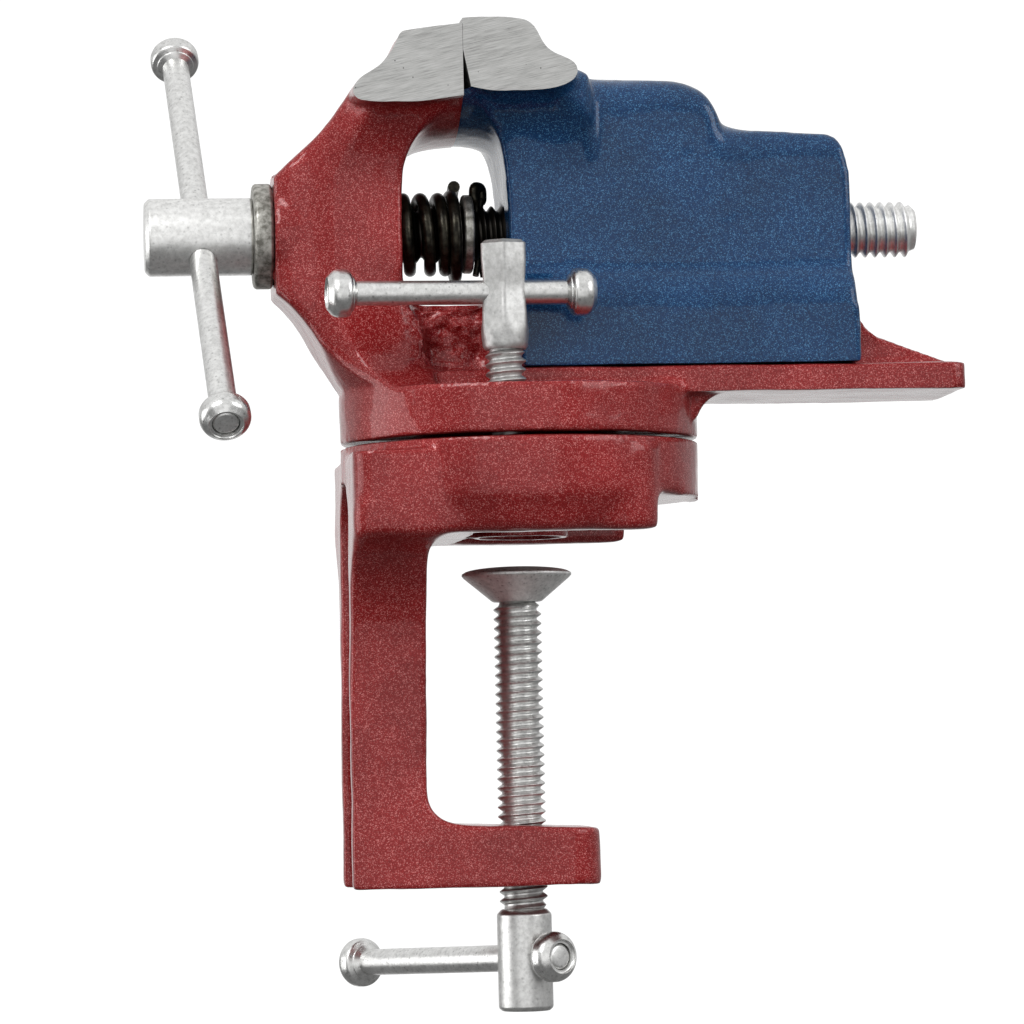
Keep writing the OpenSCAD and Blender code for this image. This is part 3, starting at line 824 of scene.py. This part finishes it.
lock_at = centre("lock_screw")
lock_hub = Vector((lock_at.x, lock_at.y, centre("lock_handle_bar").z))
handle("main_handle", "main_handle_slide", main_hub, "main_handle_bar",
       ("main_handle_knob_top", "main_handle_knob_low"), BAR["main"], 4.95 * MM, 5.9 * MM)
handle("clamp_handle", "clamp_handle_slide", clamp_hub, "clamp_handle_bar",
       ("clamp_handle_knob_near", "clamp_handle_knob_far"), BAR["clamp"], 4.95 * MM, 5.58 * MM)
handle("lock_handle", "lock_handle_slide", lock_hub, "lock_handle_bar",
       ("lock_handle_knob_left", "lock_handle_knob_right"), BAR["lock"], 4.63 * MM, 5.7 * MM)


# ---------------------------------------------------------------- small pieces

def washer(node, name, body, slot, material, bore, edge):
    low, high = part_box(node)
    outer = (high.y - low.y) / 2
    h = (high.x - low.x) / 2
    ring = soften([(bore, -h), (outer - edge, -h), (outer, -h + edge), (outer, h - edge),
                   (outer - edge, h), (bore, h)], 0.3 * MM)
    ring.append(ring[0])
    piece = ring_piece(name, ring, 96)
    move(piece, along(Vector(((low.x + high.x) / 2, 0, screw_z)), (1, 0, 0)))
    finish_piece(piece, body, slot, material, node)


washer("thrust_washer", "thrust_washer_turned", "main_screw", "olive_washer", olive, 5.61 * MM, 0.5 * MM)
washer("spring_washer", "spring_washer_stamped", "main_screw", "black_washer", olive, 5.61 * MM, 0.35 * MM)


def spring():
    """Its coils tighten toward the washer, and its last turn climbs over the one before."""
    low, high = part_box("spindle_spring")
    wire, coil, turns, per_turn = 1.2 * MM, 7.1 * MM, 3.75, 48
    path = []
    for i in range(int(-0.4 * per_turn), int(turns * per_turn) + 1):
        s = i / per_turn
        angle = 2 * math.pi * (s - turns)
        x = min(low.x + wire + max(0.0, 4.75 * s - 0.5 * s * s) * MM, high.x - wire)
        r = coil + 2.4 * MM * max(0.0, (s - 2.6) / 1.15) ** 0.8
        path.append(Vector((x, -r * math.sin(angle), screw_z + r * math.cos(angle))))
    piece = sweep("spindle_spring_wire", path, wire)
    finish_piece(piece, "main_screw", "black_spring", black, "spindle_spring")


def split_pin():
    """Two legs of one wire, bent round an eye that stands across the screw, with their tips spread."""
    low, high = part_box("split_pin")
    at = Vector((centre("split_pin").x, 0, screw_z))
    wire, loop = 0.64 * MM, 1.5 * MM
    eye = high.z - screw_z - loop - 1.05 * MM
    foot = low.z - screw_z + wire
    leg = []
    for k in range(13):
        z = foot + (eye - 2.1 * MM - foot) * k / 12
        leg.append((0.65 * MM + 0.9 * MM * (1 - ramp01(z, foot, foot + 2.6 * MM)), z))
    def squared(value):
        """Pulls a round eye toward a square one."""
        return math.copysign(abs(value) ** 0.6, value)

    turns = [math.radians(-150 + 300 * k / 24) for k in range(25)]
    path = [Vector((0, -y, z)) for y, z in leg]
    path += [Vector((0, loop * squared(math.sin(a)), eye + loop * squared(math.cos(a)))) for a in turns]
    path += [Vector((0, y, z)) for y, z in reversed(leg)]
    eye_wire = 0.4 * MM
    piece = sweep("split_pin_bent", path,
                  lambda t: wire + eye_wire * ramp01(0.5 - abs(t - 0.5), 0.2, 0.3), 14)
    move(piece, Matrix.Translation(at) @ Matrix.Rotation(math.radians(-35), 4, "Z"))
    finish_piece(piece, "main_screw", "black_pin", black, "split_pin")


def pad():
    low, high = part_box("clamp_pad")
    r = radius_of("clamp_pad")
    tall = high.z - low.z
    rim = tall - 1.4 * MM
    outline = [(0, 0.3 * MM), (3.4 * MM, 0.3 * MM), (3.6 * MM, 0), (4.8 * MM, 0),
               (r - 0.5 * MM, rim - 0.9 * MM), (r, rim - 0.35 * MM), (r - 0.1 * MM, rim + 0.05 * MM)]
    outline = soften(outline, 0.35 * MM)
    crown = 12
    for i in range(1, crown + 1):
        t = i / crown
        outline.append(Vector(((r - 0.4 * MM) * math.cos(t * math.pi / 2),
                               rim + 0.1 * MM + 1.3 * MM * math.sin(t * math.pi / 2))))
    outline[-1] = Vector((0, tall))
    place = Matrix.Translation((centre("clamp_pad").x, 0, low.z))
    piece = move(lathe("clamp_pad_turned", outline, 96), place)
    finish_piece(piece, "pad", "pad_steel", pad_metal, "clamp_pad")


spring()
split_pin()
pad()

for cad_name in ("pivot_bolt", "pivot_washer"):
    node = nodes[cad_name]
    node.data.materials.clear()
    node.data.materials.append(grey)


# ---------------------------------------------------------------- stage, light and camera

def stage():
    half, level = 3.0, -0.32
    verts = [(-half, -half, level), (half, -half, level), (half, half, level), (-half, half, level)]
    floor = link(new_mesh("floor", verts, [(0, 1, 2, 3)]), "floor")
    n = Nodes("pale_floor")
    n.set(Base_Color=n.ramp(n.noise(400.0), (0.3, 0.90), (0.7, 0.93)), Roughness=0.9)
    floor.data.materials.append(n.material)
    floor.visible_diffuse = False
    floor.visible_glossy = False


def world():
    """White background; the light itself comes from above and from behind the object."""
    sky = bpy.data.worlds.new("studio")
    scene.world = sky
    sky.use_nodes = True
    tree = sky.node_tree
    tree.nodes.clear()

    def node(kind, **inputs):
        made = tree.nodes.new(kind)
        for key, value in inputs.items():
            if isinstance(value, bpy.types.NodeSocket):
                tree.links.new(value, made.inputs[key])
            else:
                made.inputs[key].default_value = value
        return made

    def ramp(value, *stops):
        made = node("ShaderNodeValToRGB", Fac=value)
        for element, (place, level) in zip(made.color_ramp.elements, stops):
            element.position = place
            element.color = (level, level, level, 1)
        return made.outputs[0]

    split = node("ShaderNodeSeparateXYZ", Vector=tree.nodes.new("ShaderNodeTexCoord").outputs["Generated"])
    behind = ramp(split.outputs["Y"], (0.82, 0.0), (0.93, 0.80))
    height = node("ShaderNodeMapRange", Value=split.outputs["Z"])
    height.inputs["From Min"].default_value = -1.0
    above = ramp(height.outputs[0], (0.30, 0.17), (0.85, 0.80))
    both = node("ShaderNodeMix", Factor=1.0)
    both.data_type = "RGBA"
    both.blend_type = "LIGHTEN"
    both.inputs[0].default_value = 1.0
    tree.links.new(behind, both.inputs[6])
    tree.links.new(above, both.inputs[7])
    light = node("ShaderNodeBackground", Color=both.outputs[2], Strength=1.15)
    white = node("ShaderNodeBackground", Color=(1, 1, 1, 1), Strength=1.1)
    seen = tree.nodes.new("ShaderNodeLightPath").outputs["Is Camera Ray"]
    choose = node("ShaderNodeMixShader", Fac=seen)
    tree.links.new(light.outputs[0], choose.inputs[1])
    tree.links.new(white.outputs[0], choose.inputs[2])
    output = tree.nodes.new("ShaderNodeOutputWorld")
    tree.links.new(choose.outputs[0], output.inputs["Surface"])


def lamp(name, place, target, size, power):
    """An area lamp aimed at a target."""
    light = bpy.data.lights.new(name, "AREA")
    light.shape = "RECTANGLE"
    light.size, light.size_y = size
    light.energy = power
    lamp_object = bpy.data.objects.new(name, light)
    scene.collection.objects.link(lamp_object)
    lamp_object.location = place
    lamp_object.rotation_euler = (Vector(target) - Vector(place)).to_track_quat("-Z", "Y").to_euler()


def camera():
    """Long lens, a little below the table, from the handle's side of square on."""
    data = bpy.data.cameras.new("camera")
    data.sensor_width = 36
    data.lens = 169
    data.clip_end = 10
    eye = bpy.data.objects.new("camera", data)
    scene.collection.objects.link(eye)
    aim = Vector((-1.6 * MM, 0, 5.3 * MM))
    azimuth, elevation, distance = math.radians(-6), math.radians(-3), 0.950
    eye.location = aim + distance * Vector((math.sin(azimuth) * math.cos(elevation),
                                            -math.cos(azimuth) * math.cos(elevation), math.sin(elevation)))
    look = (aim - eye.location).to_track_quat("-Z", "Y")
    roll = Matrix.Rotation(math.radians(-1.3), 3, "Z")
    eye.rotation_euler = (look.to_matrix() @ roll).to_euler()
    scene.camera = eye


stage()
world()
lamp("key", (-0.9, -1.1, 1.0), (0, 0, 0.03), (0.7, 0.7), 11)
lamp("fill", (1.1, -0.9, 0.6), (0, 0, 0.03), (0.8, 0.8), 6)
lamp("front", (-0.3, -1.9, -0.25), (0, 0, 0), (2.0, 1.5), 6)
lamp("side", (-1.7, 0.1, -0.1), (0, 0, 0), (1.2, 1.2), 9)
camera()
scene.view_settings.view_transform = "Standard"
